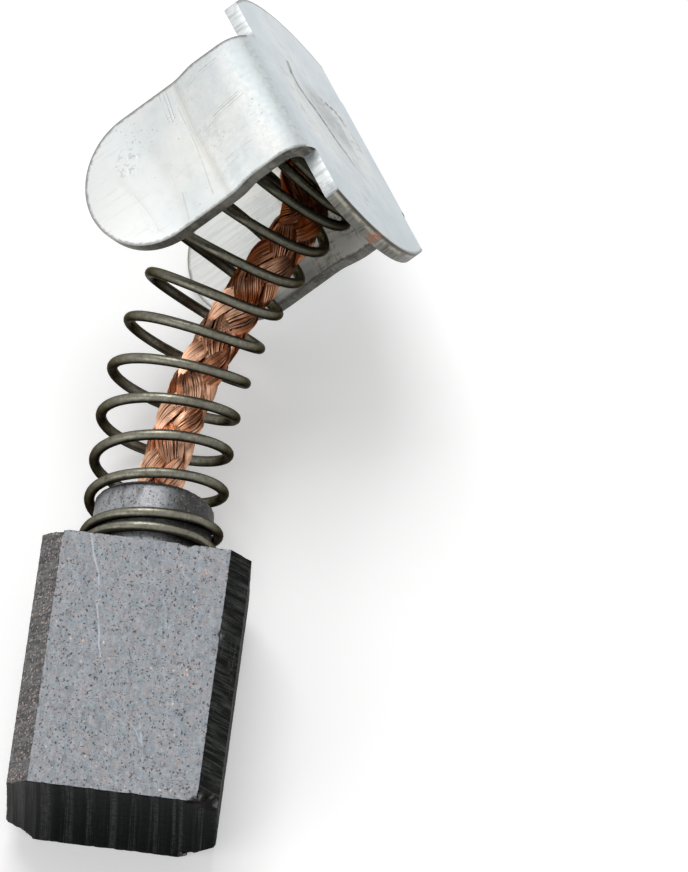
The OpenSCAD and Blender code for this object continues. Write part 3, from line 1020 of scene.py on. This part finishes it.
def platedGrain(paint, local):
    return {
        "soft": paint.noise(240, 4, 0.6), "patch": paint.noise(900, 4, 0.65),
        "fine": paint.noise(3600, 4, 0.7),
        "brushed": paint.noise(1, 4, 0.7, paint.stretched((4600, 500, 260), local)),
        "rolled": paint.noise(1, 4, 0.7, paint.stretched((300, 2400, 3400), local)),
    }


def earTone(paint, grain, z):
    look, patch = platedLook, grain["patch"]
    tone = paint.mix(grain["soft"].ramp(0.3, 0.7), look["ear"], look["earWarm"])
    tone = paint.mix(patch.ramp(0.5, 0.75) * 0.5, tone, look["earPatch"])
    tone = paint.mix(z.ramp(-6.5, -9.5) * 0.6, tone, look["earTip"])
    # a painted highlight along the bend of the fold, and painted shade where it meets the disc
    bright = 1 - (z + 1.7).math("ABSOLUTE").ramp(0.1, 0.7)
    tone = paint.mix(bright * (0.2 + 0.5 * patch), tone, look["foldShine"])
    tone = paint.mix(z.ramp(-1.5, -0.6) * 0.85, tone, look["foldShade"])
    return paint.mix((z + 4.9).ramp(-0.1, 0.1) * grain["fine"].ramp(0.35, 0.65) * 0.3, tone, look["setIn"])


def platedFinish():
    look = platedLook
    paint = Paint("platedSheet")
    local = onCap(paint)
    grain = platedGrain(paint, local)
    soft, patch, fine, brushed, rolled = (grain[n] for n in ("soft", "patch", "fine", "brushed", "rolled"))
    x, y, z = (paint.inMillimetres(n, local) for n in "XYZ")
    normal = paint.node("ShaderNodeNewGeometry", out="Normal")
    facing, outFace = paint.towards(normal, across), paint.towards(normal, outward)
    onDisc = outFace.ramp(0.7, 0.95)
    inside = (facing * y).ramp(0.2, -0.8).math("MAXIMUM", outFace.ramp(-0.4, -0.9))
    front = (facing * -1).ramp(0.3, 0.8)
    disc = paint.mix(soft.ramp(0.3, 0.7), look["disc"], look["discPale"])
    colour = paint.mix(onDisc, earTone(paint, grain, z), disc)
    colour = paint.mix(brushed.ramp(0.55, 0.75) * 0.3, colour, look["brushed"])
    colour = paint.mix(rolled.ramp(0.6, 0.78) * 0.25, colour, look["rolled"])
    # the inner side is duller and painted darker as painted shade, darkest inside the fold, where pressing
    # left pale worked lines
    innerFoldShade = inside * (1 - z.math("ABSOLUTE").ramp(4.2, 6.5))
    dull = paint.mix(brushed.ramp(0.35, 0.65), look["dull"], look["dullPale"])
    worked = (rolled * 0.4 + brushed * 0.3 + patch * 0.3).ramp(0.4, 0.52)
    pressed = paint.mix(worked, look["pressed"], look["pressedPale"])
    colour = paint.mix(inside * 0.35, colour, dull)
    colour = paint.mix(innerFoldShade * 0.9, colour, pressed)
    # creases and scratches on the near ear, the creases painted darker along them as painted shade, and a
    # line where both ears fold
    wander = (paint.noise(420, 3) - 0.5) * 0.5
    creases = paint.lines(x, z + wander * 0.5, marks["earCreases"], 1) * front * (0.5 + 0.8 * patch)
    scored = paint.lines(x + wander * 0.2, z + wander * 0.2, marks["earScratches"])
    scored = scored * front * paint.noise(1300, 2).ramp(0.35, 0.5)
    foldLine = (1 - (z + 0.3 + wander * 0.3).math("ABSOLUTE").ramp(0.04, 0.3)) * (1 - inside)
    colour = paint.mix(creases, colour, look["crease"])
    colour = paint.mix(scored, colour, look["scratch"])
    colour = paint.mix(foldLine * (0.2 + fine.ramp(0.4, 0.65)) * 0.35, colour, look["foldLine"])
    # the stamped middle of the disc, painted darker as painted shade of its dish, with the scrape round it,
    # a dark line that is partly a scrape and partly a painted shadow at the dish's edge
    v = y + wander * 0.6
    scrape = paint.line(x, v, marks["discScrape"], 0.3, 0.9) * onDisc * x.ramp(3.4, 0.6)
    nicks = paint.line(x, v, marks["discNicks"], 0.3, 0.9) * onDisc
    lengthways = (x + 1.1) * 0.88 + (v - 0.95) * 0.47
    sideways = (v - 0.95) * 0.88 - (x + 1.1) * 0.47
    within = (1 - (lengthways * lengthways / 6.5 + sideways * sideways / 2.4).ramp(0.2, 1.2)) * onDisc
    colour = paint.mix(within * (0.2 + patch.ramp(0.35, 0.65) * 0.5), colour, look["dishShade"])
    colour = paint.mix(scrape * (0.3 + fine.ramp(0.36, 0.6)) * 0.8, colour, look["scrape"])
    colour = paint.mix(nicks * fine.ramp(0.46, 0.58), colour, look["nick"])
    # small spots, pits near the ear's end, and a darker rim
    dots = paint.cells(4200, paint.warped(0.0003, 3000))
    spots = (1 - dots.ramp(0.06, 0.26)) * (paint.noise(520, 3, 0.6) + within * 0.12).ramp(0.54, 0.63)
    nearEnd = spotOnCap(paint, -1.6, -6.2, -9.0, 1.3, 0.1)
    pits = paint.noise(3000, 3, 0.7).ramp(0.5, 0.62) * (nearEnd * 0.8 + (patch - 0.5)).ramp(0.2, 0.5)
    edge = 1 - (fromRim(x, y, z) + (fine - 0.5) * 0.3).ramp(0.05, 0.22)
    colour = paint.mix((spots * 0.45).math("MAXIMUM", pits * 0.3), colour, look["spot"])
    colour = paint.mix(edge * 0.75, colour, look["rim"])
    height = brushed * 0.3 + soft * 2 + fine * 0.3 - creases * 2 - scored * 0.6 - pits * 0.4 - scrape
    bent = z.ramp(-2.6, -1.2) * (1 - onDisc)
    return paint.finish({"Base Color": colour, "Roughness": 0.36 + 0.2 * fine + 0.22 * bent,
                         "Metallic": 0.9 - 0.65 * innerFoldShade, "Normal": paint.bump(height, 0.00004, 0.6)})


shearedLook = {
    "dark": (0.065, 0.062, 0.052), "pale": (0.15, 0.147, 0.13), "disc": (0.21, 0.205, 0.18),
    "linePale": (0.36, 0.35, 0.31), "lineDark": (0.02, 0.017, 0.012), "glint": (0.45, 0.44, 0.40),
    "burr": (0.50, 0.48, 0.40), "lip": (0.07, 0.06, 0.04),
    "cut": (0.70, 0.73, 0.73), "cutPatch": (0.42, 0.45, 0.46), "cutFold": (0.16, 0.18, 0.19),
    "cutLine": (0.27, 0.29, 0.30), "bare": (0.30, 0.125, 0.07),
}


def shearedFinish():
    look = shearedLook
    paint = Paint("shearedEdge")
    local = onCap(paint)
    x, y, z = (paint.inMillimetres(n, local) for n in "XYZ")
    onDisc = z.ramp(-0.95, -0.85)
    earLines = paint.noise(1, 3, 0.65, paint.stretched((5200, 300, 5200), local))
    discLines = paint.noise(1, 3, 0.65, paint.stretched((3600, 3600, 300), local))
    lines = earLines * (1 - onDisc) + discLines * onDisc
    patch = paint.noise(700, 4, 0.6)
    fine = paint.noise(3600, 3, 0.7)
    colour = paint.mix(patch.ramp(0.35, 0.65), look["dark"], look["pale"])
    colour = paint.mix(onDisc * 0.5, colour, look["disc"])
    colour = paint.mix(lines.ramp(0.54, 0.68) * (0.25 + 0.25 * onDisc), colour, look["linePale"])
    colour = paint.mix(lines.ramp(0.47, 0.34) * (0.35 + 0.2 * onDisc), colour, look["lineDark"])
    colour = paint.mix(fine.ramp(0.58, 0.7) * 0.3, colour, look["glint"])
    burr = onDisc * z.ramp(-0.42, -0.3) * z.ramp(-0.12, -0.22)
    colour = paint.mix(burr * patch.ramp(0.4, 0.6) * 0.6, colour, look["burr"])
    colour = paint.mix(onDisc * z.ramp(-0.2, -0.1) * 0.7, colour, look["lip"])
    # the disc's two straight cuts are bright, but for the corners beside the folds
    onCut = onDisc * (1 - (y.math("ABSOLUTE") - cap["cut"] / 2).math("ABSOLUTE").ramp(0.04, 0.1))
    atFold = 1 - (x.math("ABSOLUTE") - 4).math("ABSOLUTE").ramp(0.15, 0.6)
    shine = paint.mix(patch.ramp(0.45, 0.7), look["cut"], look["cutPatch"])
    shine = paint.mix(atFold * 0.7, shine, look["cutFold"])
    shine = paint.mix(lines.ramp(0.48, 0.6) * 0.45, shine, look["cutLine"])
    colour = paint.mix(onCut * 0.95, colour, shine)
    # a reddish spot where the plating is off
    bare = spotOnCap(paint, 8.06, -1.45, -0.42, 0.62, 0.3)
    colour = paint.mix(bare * (0.25 + fine.ramp(0.4, 0.6) * 0.75), colour, look["bare"])
    return paint.finish({"Base Color": colour, "Roughness": 0.36 + 0.2 * lines, "Metallic": 0.85,
                         "Normal": paint.bump(lines + fine * 0.5, 0.00004, 0.7)})


springPiece = makeSpring()
print("spring wound")
shuntPiece = makeShunt()
print("shunt plaited")
terminalPiece = makeTerminal(platedFinish(), shearedFinish())
print("terminal folded")
blockPiece = makeBlock()
print("block ground")

for piece, finish in ((springPiece, steelFinish), (shuntPiece, copperFinish), (blockPiece, carbonFinish)):
    piece.data.materials.clear()
    piece.data.materials.append(finish())
print("finishes given")

for piece, node, slot in ((springPiece, "pressure_spring", "spring_steel"),
                          (shuntPiece, "copper_shunt", "copper_plait"),
                          (terminalPiece, "terminal", "plated_sheet"),
                          (blockPiece, "carbon_block", "carbon")):
    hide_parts(node)
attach(terminalPiece, "cap")
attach(blockPiece, "brush")

# the spring and the shunt stay in the frame, with their places baked into their meshes
for piece in (springPiece, shuntPiece):
    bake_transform(piece)
